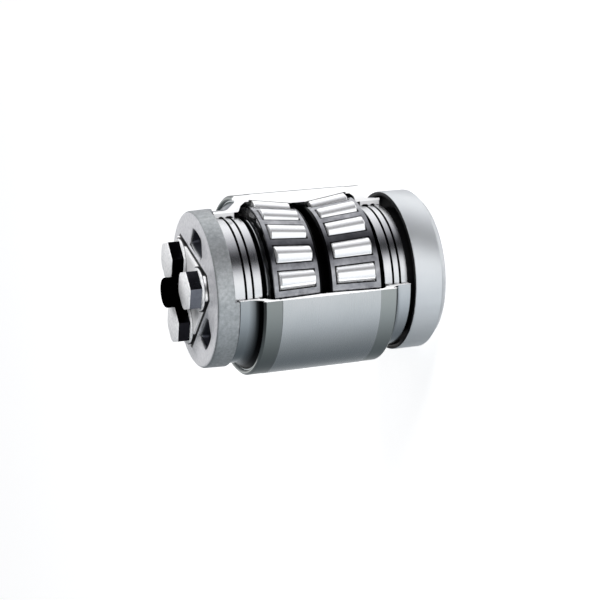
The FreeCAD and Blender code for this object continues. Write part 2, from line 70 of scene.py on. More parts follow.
# Rollers and the windows that hold them: every roller's axis meets the bearing axis in its row's apex
ROLLERS_PER_ROW = 19
ROLLER_FIRST = -90.0             # angle of the first roller
RACEWAY_ANGLE = math.radians(8.5)   # of the cup's raceway to the bearing axis
RACEWAY_RADIUS = 104.2 * MM      # of the cup's raceway at the middle of a row
ROW_OFFSET = 38 * MM             # of a row's middle from the cup's middle
ROLLER_DIAMETER = 24 * MM
ROLLER_LENGTH = 49 * MM
RACE_GAP = 0.2 * MM              # between a roller and each raceway
ROLLER_PLAY = 0.3 * MM           # beside a roller in its window
ROLLER_END_PLAY = 0.5 * MM       # and at each end of it
WINDOW_SHADE_AND_OIL = 0.9 * MM            # width of the line of painted shade and oiling round each window
CAGE_SMALL_SHADE_AND_OIL = 8.5 * MM        # from the cup's middle, as far as a cage's small end carries painted shade and oiling

# End cap, locking plate and screws
CAP_FACE = 306 * MM              # height of the cap's flat face
FACE_EDGE = 0.7 * MM             # how far round its broken edge the skimmed face reaches
PAD_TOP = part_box("locking_plate")[0][2]
PAD_SHADOW = 0.9 * MM               # how far down the pad's slope the plate's painted shadow shows
POCKET_RADIUS = 79 * MM          # of a pocket's outer wall
POCKET_INNER = 54 * MM           # from the axis to a pocket's flat wall
POCKET_HALF = 24 * MM            # half its width there
POCKET_SHADE = 3 * MM            # depth over which a pocket is painted darker as shade
POCKET_REACH = POCKET_RADIUS + 1 * MM   # inside this radius, what shows below the face is a pocket
POCKET_ROUND = 3.2 * MM          # cast round on its rim
POCKET_ANGLES = (90.0, -30.0, 210.0)
RIM_SLACK = 0.6 * MM             # how far past a pocket's outline its rim still lies
FACE_SLACK = 0.05 * MM           # and how far below the cap's face
SPECKLE = (0.35, 0.65)           # levels of the noise where its pale spots begin, and are full
HEAD_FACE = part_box("cap_screw_1")[1][2] - 1 * MM          # above it is the end of a screw's head
COLLAR_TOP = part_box("locking_plate")[1][2] + 2.7 * MM     # below it is the collar under the head
SCREW_CIRCLE = 46.3 * MM
SCREW_ANGLES = (-90.0, 30.0, 150.0)
FRONT_SCREW_BACK = -17.15 * MM   # the front screw lies before this in Y, and the others behind it
COLLAR_SHADOW = (28.1 * MM, 28.8 * MM)   # radii where the painted shadow round a collar is still full, and where it ends

# Pressed seal case and the rubber in it: their sections, with their places taken from the CAD nodes
SEAL_SEAT_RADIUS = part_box("seal_case_outboard")[1][0]
SEAL_CASE_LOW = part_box("seal_case_outboard")[0][2]
SEAL_CASE_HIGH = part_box("seal_case_outboard")[1][2]
SEAL_TUBE_RADIUS = 96.9 * MM      # of the tube's outside
SEAL_WALL = 2.9 * MM
SEAL_FACE = CUP_HIGH - 3 * MM    # outer face of the flange
SEAL_FLANGE = 5 * MM             # from that face to the inner one
SEAL_FLANGE_WIDTH = 2.5 * MM     # of the flat part of its outer face
SEAL_NECK_LENGTH = 11 * MM       # funnel between the flange and the tube
SEAL_NECK_BEND = 13 * MM         # hollow bend from the funnel into the tube
SEAL_STEP = 5.2 * MM             # straight length of the wall inside the cup's seat
SEAL_SHADE_TOP, SEAL_SHADE_FULL = SEAL_FACE + 17 * MM, SEAL_FACE + 5 * MM   # heights where the painted shade begins, and is full
SEAL_SHADE_OUT, SEAL_SHADE_IN = SEAL_SEAT_RADIUS - 1.2 * MM, SEAL_SEAT_RADIUS - 2.2 * MM   # the same, as radii
SEAL_SHADE_CLEAR_X, SEAL_SHADE_DEEP_X = 60 * MM, 0.0  # the same, along X
LIP_TIP_RADIUS = 88.25 * MM
LIP_ROOT_RADIUS = 90 * MM
LIP_ROOT = 3.4 * MM              # half width of a lip at its root
LIP_TIP = 0.85 * MM              # and at its tip
LIP_PLACES = (1.7 * MM, 13.8 * MM, 23 * MM)   # from the flange's face
LIP_BEND, LIP_CORNER = 0.4 * MM, 0.3 * MM     # rounds on the lips, and on the body's corners
LIP_SHORT = 0.8 * MM             # how far the rubber stays inside the end of the case

# Broken edges: their widths, and what counts as an edge
SCREW_EDGE, PLATE_EDGE = 0.5 * MM, 0.4 * MM
BACKING_EDGE, CAP_EDGE = 0.8 * MM, 0.9 * MM
MERGE = 0.002 * MM               # points of a mesh nearer than this are one
FLAT = math.radians(0.6)         # faces that meet at less than this are one
SHARP = math.radians(30.0)       # edges sharper than this are broken
SHADE_SHARP = math.radians(32.0)   # edges of turned pieces sharper than this are shaded sharp

# The photograph's camera: where it stands, where it looks, and which way is up in the picture
CAMERA_PLACE = Vector((0.0, -1.98758, 0.87109))
CAMERA_ASPECT = Vector((-0.01278, 0.94238, -0.33431))
CAMERA_UP = Vector((0.99469, -0.02215, -0.10047))
CAMERA_LENS = 98.1
CAMERA_SENSOR = 36.0

# Studio lamps: name, place, size and watts; and the floor
LAMPS = (("key_softbox", (1.4, -0.9, 1.6), 1.2, 34.0), ("front_fill", (-0.4, -2.4, 0.7), 1.6, 12.0))
FLOOR_HALF = 12.0
FLOOR_GLOW = 0.62                # keeps the paper near white where no lamp reaches

# Studio surround: brightness seen in each direction about the axis, as (degrees, sRGB hex)
SURROUND = (
    (-180, "#8b9094"), (-164, "#a4a9ae"), (-148, "#c0c5ca"), (-132, "#d4d8dc"), (-116, "#dfe1e4"),
    (-100, "#eceef0"), (-84, "#fbfbfb"), (-72, "#dcdcdf"), (-63, "#8b8b8f"), (-56, "#202022"),
    (-50, "#0a0a0b"), (-42, "#26262a"), (-33, "#5c5c60"), (-20, "#a4a4a8"), (-4, "#d8d8db"),
    (12, "#f6f6f7"), (28, "#ffffff"), (44, "#e2e2e4"), (60, "#a2a2a6"), (78, "#d4d4d6"),
    (92, "#f8f8f8"), (110, "#a4a7aa"), (132, "#6a6f73"), (150, "#666c71"), (168, "#7a7f83"),
    (180, "#8b9094"),
)
SURROUND_STRENGTH = 1.25
CEILING_STRENGTH = 0.06
CEILING = (0.62, 0.84)           # sine of the height where the surround turns into the dark ceiling


def linear(hex_colour):
    """Linear RGBA of an sRGB hex colour: each channel through the sRGB curve."""
    channels = [int(hex_colour[i:i + 2], 16) / 255 for i in (1, 3, 5)]
    return tuple(c / 12.92 if c <= 0.04045 else ((c + 0.055) / 1.055) ** 2.4 for c in channels) + (1.0,)


# A Mix node's sockets go by number: 0 is the factor, 2 and 3 are its values, and 6 and 7 its colours.
# Its output 0 is the mixed value, and 2 the mixed colour.
def add(tree, kind, inputs=(), out=0, **settings):
    """Adds a node with its own settings and gives back one of its outputs. Inputs come by name or in
    order, and each takes a value, a hex colour, or a link if it is given a socket."""
    node = tree.nodes.new("ShaderNode" + kind)
    for name, value in settings.items():
        setattr(node, name, value)
    for name, value in inputs.items() if isinstance(inputs, dict) else enumerate(inputs):
        if isinstance(value, bpy.types.NodeSocket):
            tree.links.new(value, node.inputs[name])
        else:
            node.inputs[name].default_value = linear(value) if isinstance(value, str) else value
    return node.outputs[out] if node.outputs else None


def new_material(name):
    """Empty node material and its node tree."""
    material = bpy.data.materials.new(name)
    material.use_nodes = True
    material.node_tree.nodes.clear()
    return material, material.node_tree


def finish_material(tree, inputs):
    """Ends a material with its shader; the inputs are the shader's own sockets."""
    add(tree, "OutputMaterial", {"Surface": add(tree, "BsdfPrincipled", inputs)})


def position(tree):
    """x, y and z of the point that is shaded, in the part's own frame."""
    return add(tree, "SeparateXYZ", [add(tree, "TexCoord", out="Object")]).node.outputs


def distance(tree, x=0.0, y=0.0):
    """Distance from an upright line through a point in plan, by default the bearing axis."""
    point = add(tree, "TexCoord", out="Object")
    offset = add(tree, "VectorMath", [point, (x, y, 0.0)], operation="SUBTRACT")
    flat = add(tree, "VectorMath", [offset, (1.0, 1.0, 0.0)], operation="MULTIPLY")
    return add(tree, "VectorMath", [flat], "Value", operation="LENGTH")


def from_middle(tree):
    """Distance from the cup's middle plane."""
    offset = add(tree, "Math", [position(tree)["Z"], MIDDLE], operation="SUBTRACT")
    return add(tree, "Math", [offset], operation="ABSOLUTE")


def grain(tree, size, detail=4.0, roughness=0.6):
    """Even noise whose lumps have a real size."""
    return add(tree, "TexNoise", {"Vector": add(tree, "TexCoord", out="Object"), "Scale": 1 / size,
                                  "Detail": detail, "Roughness": roughness})


def tool_marks(tree, spacing, length=90 * MM):
    """Fine lines round the axis: noise that is long along the cut and as wide as the feed of the tool.
    The real lines are a few hundredths of a millimetre apart, too fine for the render, so the spacing
    is as coarse as it has to be to show."""
    stretched = add(tree, "Mapping", {"Vector": add(tree, "TexCoord", out="Object"),
                                      "Scale": (1 / length, 1 / length, 1 / spacing)})
    return add(tree, "TexNoise", {"Vector": stretched, "Scale": 1.0, "Detail": 3.0})


def on_cut(tree):
    """1 on the two saw cuts: half planes that start at the axis, from which the distance is next to
    nothing on the cut's own side of the axis."""
    point = add(tree, "TexCoord", out="Object")
    marks = []
    for angle in (WINDOW_START, WINDOW_START + WINDOW_ANGLE):
        turn = math.radians(angle)
        off, along = [add(tree, "VectorMath", [point, way], "Value", operation="DOT_PRODUCT")
                      for way in ((-math.sin(turn), math.cos(turn), 0.0),
                                  (math.cos(turn), math.sin(turn), 0.0))]
        near = add(tree, "Math", [off, 0.0, CUT_SLACK], operation="COMPARE")
        own_side = add(tree, "Math", [along, 0.0], operation="GREATER_THAN")
        marks.append(add(tree, "Math", [near, own_side], operation="MULTIPLY"))
    return add(tree, "Math", marks, operation="MAXIMUM")


def in_groove(tree):
    """1 below the running surface of a wear ring, in its grooves and neck, which are painted black as shade.
    """
    return add(tree, "Math", [distance(tree), GROOVE_TOP], operation="LESS_THAN")


def under_rib(tree):
    """1 on a cone except on the outside of its large rib: the raceway and faces are painted near black as
    shade.
    """
    past_cage = add(tree, "Math", [from_middle(tree), CONE_RIB_SHOWN], operation="GREATER_THAN")
    outside = add(tree, "Math", [distance(tree), CONE_RIB_TOP], operation="GREATER_THAN")
    unshaded = add(tree, "Math", [past_cage, outside], operation="MULTIPLY")
    return add(tree, "Math", [1.0, unshaded], operation="SUBTRACT")


def at_cup_ends(tree):
    """1 on the duller band at each end of the cup."""
    return add(tree, "Math", [from_middle(tree), CUP_HALF - CUP_END_BAND], operation="GREATER_THAN")


def at_outboard_end(tree):
    """1 on the outboard end band, which is drawn duller and darker than the inboard one."""
    return add(tree, "Math", [position(tree)["Z"], CUP_HIGH - CUP_END_BAND], operation="GREATER_THAN")


def outboard(tree):
    """1 on the cap's side of the cup's middle."""
    return add(tree, "Math", [position(tree)["Z"], MIDDLE], operation="GREATER_THAN")


def in_recess(tree):
    """1 inside the open rim of the backing ring and on the rim's own edge, painted dark as shade."""
    # painted shade in the recess and on the rim's edge
    height = position(tree)["Z"]
    inside = add(tree, "Math", [distance(tree), RECESS_WALL], operation="LESS_THAN")
    above = add(tree, "Math", [height, RECESS_FLOOR], operation="GREATER_THAN")
    deep = add(tree, "Math", [inside, above], operation="MULTIPLY")
    edge = add(tree, "Math", [height, RIM_EDGE], operation="GREATER_THAN")
    return add(tree, "Math", [deep, edge], operation="MAXIMUM")


def seal_hollow_shade(tree):
    """Painted shade in the hollow of the outboard seal case: none on the tube, full by the flange, and
    strongest on the -X side."""
    x, _, z = position(tree)
    mask = outboard(tree)
    # painted shade, darkest by the flange and on the -X side
    for value, start, end in ((z, SEAL_SHADE_TOP, SEAL_SHADE_FULL), (distance(tree), SEAL_SHADE_OUT, SEAL_SHADE_IN),
                              (x, SEAL_SHADE_CLEAR_X, SEAL_SHADE_DEEP_X)):
        darkening = add(tree, "MapRange", {"Value": value, "From Min": start, "From Max": end})
        mask = add(tree, "Math", [mask, darkening], operation="MULTIPLY")
    return mask


def round_windows(tree):
    """1 in a narrow line round each window of a cage, and at its small end: painted shade in the gaps between
    the parts, with oiling there too. A point is folded into one roller's sector, then measured along and
    across that roller's axis: the window is as wide as the roller's cone, whose half angle makes it fill the
    wedge between the raceways."""
    x, y, _ = position(tree)
    pitch = 2 * math.pi / ROLLERS_PER_ROW
    angle = add(tree, "Math", [y, x], operation="ARCTAN2")
    turn = add(tree, "Math", [angle, math.radians(ROLLER_FIRST) - pitch / 2], operation="SUBTRACT")
    within_pitch = add(tree, "Math", [turn, pitch], operation="FLOORED_MODULO")
    folded = add(tree, "Math", [within_pitch, pitch / 2], operation="SUBTRACT")
    out, aside = [add(tree, "Math", [distance(tree), add(tree, "Math", [folded], operation=function)],
                      operation="MULTIPLY") for function in ("COSINE", "SINE")]

    apex = RACEWAY_RADIUS / math.tan(RACEWAY_ANGLE) - ROW_OFFSET
    contact = RACEWAY_RADIUS / math.sin(RACEWAY_ANGLE)
    half = math.asin((ROLLER_DIAMETER / 2 + RACE_GAP) / contact)
    tilt = RACEWAY_ANGLE - half
    rise = add(tree, "Math", [from_middle(tree), apex], operation="ADD")
    from_apex = add(tree, "CombineXYZ", [out, aside, rise])
    along, across = [add(tree, "VectorMath", [from_apex, way], "Value", operation="DOT_PRODUCT")
                     for way in ((math.sin(tilt), 0.0, math.cos(tilt)),
                                 (math.cos(tilt), 0.0, -math.sin(tilt)))]
    off = add(tree, "VectorMath", [add(tree, "CombineXYZ", [across, aside])], "Value", operation="LENGTH")

    edge = add(tree, "Math", [along, math.tan(half), ROLLER_PLAY + WINDOW_SHADE_AND_OIL], operation="MULTIPLY_ADD")
    beside = add(tree, "Math", [off, edge], operation="LESS_THAN")
    reach = ROLLER_LENGTH / 2 + ROLLER_END_PLAY + WINDOW_SHADE_AND_OIL
    between_ends = add(tree, "Math", [along, contact * math.cos(half), reach], operation="COMPARE")
    line = add(tree, "Math", [beside, between_ends], operation="MULTIPLY")
    small_end = add(tree, "Math", [from_middle(tree), CAGE_SMALL_SHADE_AND_OIL], operation="LESS_THAN")
    return add(tree, "Math", [line, small_end], operation="MAXIMUM")


def turned_steel(name, light, dark, roughness, spacing, depth, shades=(), cut=False, patches=45 * MM,
                 metal=1.0):
    """Turned or ground steel: lines round the axis, of a spacing and a depth, spread each highlight across
    them, and slow patches of a light and a dark tone keep it from looking like plastic. A shade (mask, hex,
    roughness) covers what is not ground, or paints shade into a groove, hollow or gap, and a saw cut is
    milled metal drawn near white, dull and non-metallic as painted light.
    Metal under 1 is for a surface under a thin film, which scatters part of the light."""
    material, tree = new_material(name)
    marks = tool_marks(tree, spacing)
    colour = add(tree, "Mix", {0: grain(tree, patches, 2.0), 6: dark, 7: light}, 2, data_type="RGBA")
    rough = add(tree, "Mix", {0: marks, 2: roughness * 0.75, 3: roughness * 1.25})
    for find_mask, shade_colour, shade_roughness in shades:
        mask = find_mask(tree)
        colour = add(tree, "Mix", {0: mask, 6: colour, 7: shade_colour}, 2, data_type="RGBA")
        rough = add(tree, "Mix", {0: mask, 2: rough, 3: shade_roughness})
    # saw cuts: near white and non-metallic, painted light on the milled metal
    if cut:
        mask = on_cut(tree)
        colour = add(tree, "Mix", {0: mask, 6: colour, 7: CUT_PAINTED_LIGHT_COLOUR}, 2, data_type="RGBA")
        rough = add(tree, "Mix", {0: mask, 2: rough, 3: CUT_ROUGHNESS})
        metal = add(tree, "Mix", {0: mask, 2: metal, 3: CUT_METAL})
    finish_material(tree, {"Base Color": colour, "Metallic": metal, "Roughness": rough,
                           "Normal": add(tree, "Bump", {"Height": marks, "Strength": 0.5,
                                                        "Distance": depth})})
    return material


def cast_steel():
    """Sand-cast steel under a thin grey coat: grain of the sand, slow clouds, softened gloss. The end face is
    skimmed matt, and painted paler as the light that falls on it. The pockets are painted darker as shade,
    the deeper the darker, and a dark line painted along the top of the pad's slope is the plate's shadow.
    Sand leaves a grain of about half a millimetre, drawn coarser to show."""
    material, tree = new_material("cap_steel_sand_cast")
    height = position(tree)["Z"]
    sand = grain(tree, 1.8 * MM, 5.0, 0.7)
    speckle = add(tree, "MapRange", {"Value": grain(tree, 4.5 * MM, 5.0, 0.7), "From Min": SPECKLE[0],
                                     "From Max": SPECKLE[1]})
    clouds = add(tree, "Mix", {0: grain(tree, 26 * MM), 6: "#a3a8ab", 7: "#ccced0"}, 2, data_type="RGBA")
    dots = add(tree, "Mix", {0: speckle, 6: "#d8dad9", 7: "#ffffff"}, 2, data_type="RGBA")
    colour = add(tree, "Mix", {0: 1.0, 6: clouds, 7: dots}, 2, data_type="RGBA", blend_type="MULTIPLY")

    face = add(tree, "Math", [height, CAP_FACE - FACE_EDGE], operation="GREATER_THAN")
    # the end face, skimmed, and painted paler as the light that falls on it
    skimmed = add(tree, "Mix", {0: speckle, 6: "#cbccd0", 7: "#e4e4e7"}, 2, data_type="RGBA")
    colour = add(tree, "Mix", {0: face, 6: colour, 7: skimmed}, 2, data_type="RGBA")
    depth = add(tree, "MapRange", {"Value": height, "From Min": CAP_FACE,
                                   "From Max": CAP_FACE - POCKET_SHADE})
    inside = add(tree, "Math", [distance(tree), POCKET_REACH], operation="LESS_THAN")
    # pockets painted darker with depth, as shade
    pocket = add(tree, "Math", [depth, inside], operation="MULTIPLY")
    colour = add(tree, "Mix", {0: pocket, 6: colour, 7: "#45474f"}, 2, data_type="RGBA")
    # painted shadow of the plate's edge along the top of the pad's slope
    plate_shadow = add(tree, "Math", [height, PAD_TOP - PAD_SHADOW], operation="GREATER_THAN")
    colour = add(tree, "Mix", {0: plate_shadow, 6: colour, 7: "#0c0c0e"}, 2, data_type="RGBA")
    finish_material(tree, {"Base Color": colour, "Metallic": add(tree, "Mix", {0: face, 2: 0.85, 3: 0.5}),
                           "Roughness": add(tree, "Mix", {0: sand, 2: 0.34, 3: 0.5}),
                           "Normal": add(tree, "Bump", {"Height": sand, "Strength": 0.8,
                                                        "Distance": 0.3 * MM})})
    return material


def black_rubber():
    """Nitrile rubber, moulded: black, with a faint dull bloom; its sawn face is drawn pale."""
    material, tree = new_material("nitrile_rubber_moulded")
    rubber = add(tree, "Mix", {0: grain(tree, 6 * MM), 6: "#0a0a0b", 7: "#141415"}, 2, data_type="RGBA")
    colour = add(tree, "Mix", {0: on_cut(tree), 6: rubber, 7: "#dcdcdd"}, 2, data_type="RGBA")
    bloom = add(tree, "Mix", {0: grain(tree, 1.5 * MM), 2: 0.45, 3: 0.7})
    finish_material(tree, {"Base Color": colour, "Roughness": bloom})
    return material


def forged_screw_steel():
    """Forged steel with dark oiled flanks, painted darker as shade on the two back screws and paler as light
    on the front screw, and a face that was faced off and has gone matt: it scatters light, and is mottled by
    the forging under it."""
    material, tree = new_material("screw_steel_forged_oiled_painted_flanks")
    _, y, z = position(tree)
    scale = grain(tree, 5 * MM)
    mottle = add(tree, "MapRange", {"Value": grain(tree, 4 * MM, 5.0, 0.7), "From Min": SPECKLE[0],
                                    "From Max": SPECKLE[1]})
    face = add(tree, "Math", [z, HEAD_FACE], operation="GREATER_THAN")
    collar = add(tree, "Math", [z, COLLAR_TOP], operation="LESS_THAN")
    matt = add(tree, "Math", [face, collar], operation="MAXIMUM")
    front = add(tree, "Math", [y, FRONT_SCREW_BACK], operation="LESS_THAN")

    # flanks: painted darker as shade on the two back screws, paler as light on the front one
    back_flank_shade = add(tree, "Mix", {0: scale, 6: "#1a191d", 7: "#2b2a2f"}, 2, data_type="RGBA")
    front_flank_light = add(tree, "Mix", {0: scale, 6: "#74747d", 7: "#93959c"}, 2, data_type="RGBA")
    flank = add(tree, "Mix", {0: front, 6: back_flank_shade, 7: front_flank_light}, 2, data_type="RGBA")
    faced = add(tree, "Mix", {0: mottle, 6: "#dadbdd", 7: "#ffffff"}, 2, data_type="RGBA")
    gloss = add(tree, "Mix", {0: scale, 2: 0.12, 3: 0.2})
    finish_material(tree, {"Base Color": add(tree, "Mix", {0: matt, 6: flank, 7: faced}, 2, data_type="RGBA"),
                           "Metallic": add(tree, "Mix", {0: matt, 2: 1.0, 3: 0.15}),
                           "Roughness": add(tree, "Mix", {0: matt, 2: gloss, 3: 0.55}),
                           "Normal": add(tree, "Bump", {"Height": scale, "Strength": 0.4,
                                                        "Distance": 0.05 * MM})})
    return material


def zinc_sheet():
    """Zinc-plated sheet: near white and shiny, with a painted shadow, a dark ring, in the corner round each
    collar.
    """
    material, tree = new_material("locking_plate_zinc_plated")
    near, *others = [distance(tree, SCREW_CIRCLE * math.cos(math.radians(angle)),
                              SCREW_CIRCLE * math.sin(math.radians(angle))) for angle in SCREW_ANGLES]
    for off in others:
        near = add(tree, "Math", [near, off], operation="MINIMUM")
    # dark ring round each collar: painted shadow
    unshaded = add(tree, "MapRange", {"Value": near, "From Min": COLLAR_SHADOW[0], "From Max": COLLAR_SHADOW[1]})
    zinc = add(tree, "Mix", {0: grain(tree, 9 * MM), 6: "#f2f2f3", 7: "#fdfdfd"}, 2, data_type="RGBA")
    colour = add(tree, "Mix", {0: unshaded, 6: "#101012", 7: zinc}, 2, data_type="RGBA")
    finish_material(tree, {"Base Color": colour, "Metallic": 0.1,
                           "Roughness": add(tree, "Mix", {0: grain(tree, 3 * MM), 2: 0.4, 3: 0.5})})
    return material


def blackened_steel():
    """Turned steel, blackened and oiled, drawn pure black with its reflection turned off: painted shade
    between the screw heads.
    """
    material, tree = new_material("plug_steel_blackened")
    black = add(tree, "Mix", {0: grain(tree, 7 * MM), 6: "#000000", 7: "#020202"}, 2, data_type="RGBA")
    # drawn black with no reflection: painted shade
    finish_material(tree, {"Base Color": black, "Specular IOR Level": 0.0,
                           "Roughness": add(tree, "Mix", {0: tool_marks(tree, 1.2 * MM), 2: 0.5, 3: 0.65})})
    return material


def dress_nodes():
    """Each carried-over node gets the finish of its real piece."""
    finishes = {
        # Ground, so the middle mirrors softly; the end bands are only turned, and duller
        "cup": turned_steel("cup_bearing_steel_ground", "#d4d6d7", "#c6cacb", 0.26, 1.6 * MM, 0.009 * MM,
                            [(at_cup_ends, "#a7acaa", 0.3), (at_outboard_end, "#949997", 0.3)], cut=True),
        # Finely ground, so a rib is a sharp bright line between faces painted near black as shade
        "cone": turned_steel("cone_bearing_steel_ground", "#d0d2d4", "#bfc2c4", 0.16, 1.6 * MM, 0.01 * MM,
                             [(under_rib, "#121214", 0.4)]),
        # Plunge ground for the seals: bright bands, with the grooves between them painted black as shade
        "wear_ring": turned_steel("wear_ring_steel_plunge_ground", "#e6e7e9", "#d6d8da", 0.24, 1.2 * MM,
                                  0.01 * MM, [(in_groove, "#08080a", 0.5)]),
        # Superfinished and lightly oiled: near a mirror, with the studio in sharp bands along each roller
        "roller": turned_steel("roller_bearing_steel_superfinished", "#fdfdfe", "#f4f5f6", 0.11, 1.2 * MM,
                               0.003 * MM, metal=0.76),
        # Pressed and tumbled sheet: darker, in patches, with painted shade and oiling round the windows and
        # at the small end
        "cage": turned_steel("cage_sheet_steel_pressed", "#c8c9cd", "#56575d", 0.2, 2.0 * MM, 0.015 * MM,
                             [(round_windows, "#0c0c0e", 0.4)], patches=13 * MM),
        # Deep-drawn sheet: an even satin gloss; the outboard case painted a little darker as shade, and
        # painted shade in its hollow
        "seal_case": turned_steel("seal_case_sheet_steel_pressed", "#d0d4d7", "#bfc4c7", 0.2, 2.0 * MM,
                                  0.01 * MM, [(outboard, "#a9afb2", 0.2), (seal_hollow_shade, "#060608", 0.3)],
                                  cut=True),
        "seal_lip": black_rubber(),
        # Rough turned under a pale film: wide soft highlights, and painted shade in the recess and on the
        # rim's edge
        "backing_ring": turned_steel("backing_ring_steel_turned", "#dcdfe1", "#ced2d5", 0.4, 2.2 * MM,
                                     0.03 * MM, [(in_recess, "#151517", 0.5)], metal=0.8),
        "end_cap": cast_steel(),
        "locking_plate": zinc_sheet(),
        "cap_screw": forged_screw_steel(),
        "centre_plug": blackened_steel(),
    }
    for name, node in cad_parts.items():
        for start, material in finishes.items():
            if name == start or name.startswith(start + "_"):
                for slot in node.material_slots:
                    slot.material = material
    return finishes


def rounded(corners, steps=6):
    """Closed section through (r, z, bend) corners, each turned into an arc of its bend radius: centre at
    bend / sin(half angle) along the bisector, swept evenly from one side to the other."""
    corners = np.array(corners, dtype=float)
    points = []
    for i, (r, z, bend) in enumerate(corners):
        corner = np.array((r, z))
        back = corners[i - 1, :2] - corner
        on = corners[(i + 1) % len(corners), :2] - corner
        back, on = back / np.linalg.norm(back), on / np.linalg.norm(on)
        half = math.acos(float(np.clip(back @ on, -1, 1))) / 2
        bisector = (back + on) / np.linalg.norm(back + on)
        centre = corner + bisector * bend / math.sin(half)
        first = corner + back * bend / math.tan(half) - centre
        last = corner + on * bend / math.tan(half) - centre
        turn = math.atan2(first[0] * last[1] - first[1] * last[0], first @ last)
        angles = np.linspace(0, turn, steps)
        spin = np.stack([np.cos(angles) * first[0] - np.sin(angles) * first[1],
                         np.sin(angles) * first[0] + np.cos(angles) * first[1]], axis=1)
        points.extend(centre + spin)
    return np.array(points)


def lathe(name, section, start, sweep, steps=240):
    """Surface (r cos t, r sin t, z) of a closed (r, z) section carried part of the way round the axis, and
    closed by the section itself at both ends. The section runs anticlockwise in (r, z)."""
    turns = np.radians(start + np.linspace(0, sweep, steps + 1))
    rows, count = len(turns), len(section)
    radii, heights = section[:, 0], section[:, 1]
    grid = np.stack([np.outer(np.cos(turns), radii), np.outer(np.sin(turns), radii),
                     np.broadcast_to(heights, (rows, count))], axis=-1)
    row = np.arange(rows - 1)[:, None]
    column = np.arange(count)[None, :]
    beside = (column + 1) % count
    faces = np.stack(np.broadcast_arrays(row * count + column, (row + 1) * count + column,
                                         (row + 1) * count + beside, row * count + beside), axis=-1)
    faces = [tuple(face) for face in faces.reshape(-1, 4).tolist()]
    faces += [tuple(range(count)), tuple(reversed(range((rows - 1) * count, rows * count)))]
    mesh = bpy.data.meshes.new(name)
    mesh.from_pydata(grid.reshape(-1, 3).tolist(), [], faces)
    mesh.update()
    mesh.shade_smooth()
    mesh.set_sharp_from_angle(angle=SHADE_SHARP)
    piece = bpy.data.objects.new(name, mesh)
    bpy.context.scene.collection.objects.link(piece)
    return piece


def turn_seal_part(kind, made, section, side, material):
    """Carries the outboard section round the part of the circle that isn't cut away; the inboard one is
    its mirror image in the cup's middle plane."""
    node = kind + ("_outboard" if side > 0 else "_inboard")
    if side < 0:
        section = section[::-1] * (1, -1) + (0, 2 * MIDDLE)
    piece = lathe(node + "_" + made, section, WINDOW_START + WINDOW_ANGLE, 360.0 - WINDOW_ANGLE)
    piece.data.materials.append(material)
    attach(piece, "cup_assembly")
    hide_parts(node)


def make_seal_case(side, material):
    """Deep-drawn case: flange in the cup's seat, a hollow bend, and a tube with a rolled edge. Each corner
    of its section is a radius, a height and the radius of the bend there."""
    inside = SEAL_TUBE_RADIUS - SEAL_WALL
    back = SEAL_FACE - SEAL_FLANGE
    section = rounded([
        (SEAL_SEAT_RADIUS, SEAL_CASE_LOW, 0.5 * MM),
        (SEAL_SEAT_RADIUS, SEAL_FACE, 0.8 * MM),
        (SEAL_SEAT_RADIUS - SEAL_FLANGE_WIDTH, SEAL_FACE, 1.0 * MM),
        (SEAL_TUBE_RADIUS, SEAL_FACE + SEAL_NECK_LENGTH, SEAL_NECK_BEND),
        (SEAL_TUBE_RADIUS, SEAL_CASE_HIGH, 1.0 * MM),
        (inside, SEAL_CASE_HIGH, 0.6 * MM),
        (inside, back, 1.5 * MM),
        ((inside + SEAL_SEAT_RADIUS) / 2, back - SEAL_WALL, 1.5 * MM),
        (SEAL_SEAT_RADIUS - SEAL_WALL, SEAL_CASE_LOW + SEAL_STEP, 1.5 * MM),
        (SEAL_SEAT_RADIUS - SEAL_WALL, SEAL_CASE_LOW, 0.5 * MM),
    ], 10)
    turn_seal_part("seal_case", "drawn", section, side, material)


def make_seal_lip(side, material):
    """Moulded rubber ring inside the case: three lips, each a low ridge that narrows to its tip. The first
    lip has no root on the flange's side, and the last is cut off by the end of the ring."""
    end = SEAL_CASE_HIGH - LIP_SHORT
    outside = SEAL_TUBE_RADIUS - SEAL_WALL
    ridges = [(radius, SEAL_FACE + place + width, LIP_BEND) for place in LIP_PLACES
              for radius, width in ((LIP_ROOT_RADIUS, -LIP_ROOT), (LIP_TIP_RADIUS, -LIP_TIP),
                                    (LIP_TIP_RADIUS, LIP_TIP), (LIP_ROOT_RADIUS, LIP_ROOT))]
    corners = [(outside, SEAL_FACE + LIP_PLACES[0] - LIP_TIP, LIP_CORNER)] + ridges[1:-1]
    corners += [(LIP_TIP_RADIUS + LIP_BEND, end, LIP_CORNER), (outside, end, LIP_CORNER)]
    turn_seal_part("seal_lip", "moulded", rounded(corners, 4)[::-1], side, material)


def merge_cad_mesh(name, node):
    """Copy of a node's mesh: doubled points merged, and flat facets joined into whole faces."""
    form = bmesh.new()
    form.from_mesh(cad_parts[node].data)
    bmesh.ops.remove_doubles(form, verts=form.verts, dist=MERGE)
    bmesh.ops.dissolve_limit(form, angle_limit=FLAT, verts=form.verts, edges=form.edges)
    bmesh.ops.recalc_face_normals(form, faces=form.faces)
    mesh = bpy.data.meshes.new(name)
    form.to_mesh(mesh)
    form.free()
    mesh.materials.clear()
    piece = bpy.data.objects.new(name, mesh)
    bpy.context.scene.collection.objects.link(piece)
    return piece


def break_edges(node, made, body, material, width):
    """A node's own form with its sharp edges broken: each of them gets a small round."""
    piece = merge_cad_mesh(node + "_" + made, node)
    piece.data.materials.append(material)
    piece.data.shade_smooth()
    round_off = piece.modifiers.new("broken_edges", "BEVEL")
    round_off.width = width
    round_off.segments = 2
    round_off.limit_method = "ANGLE"
    round_off.angle_limit = SHARP
    round_off.harden_normals = True
    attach(piece, body)
    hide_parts(node)
    return piece


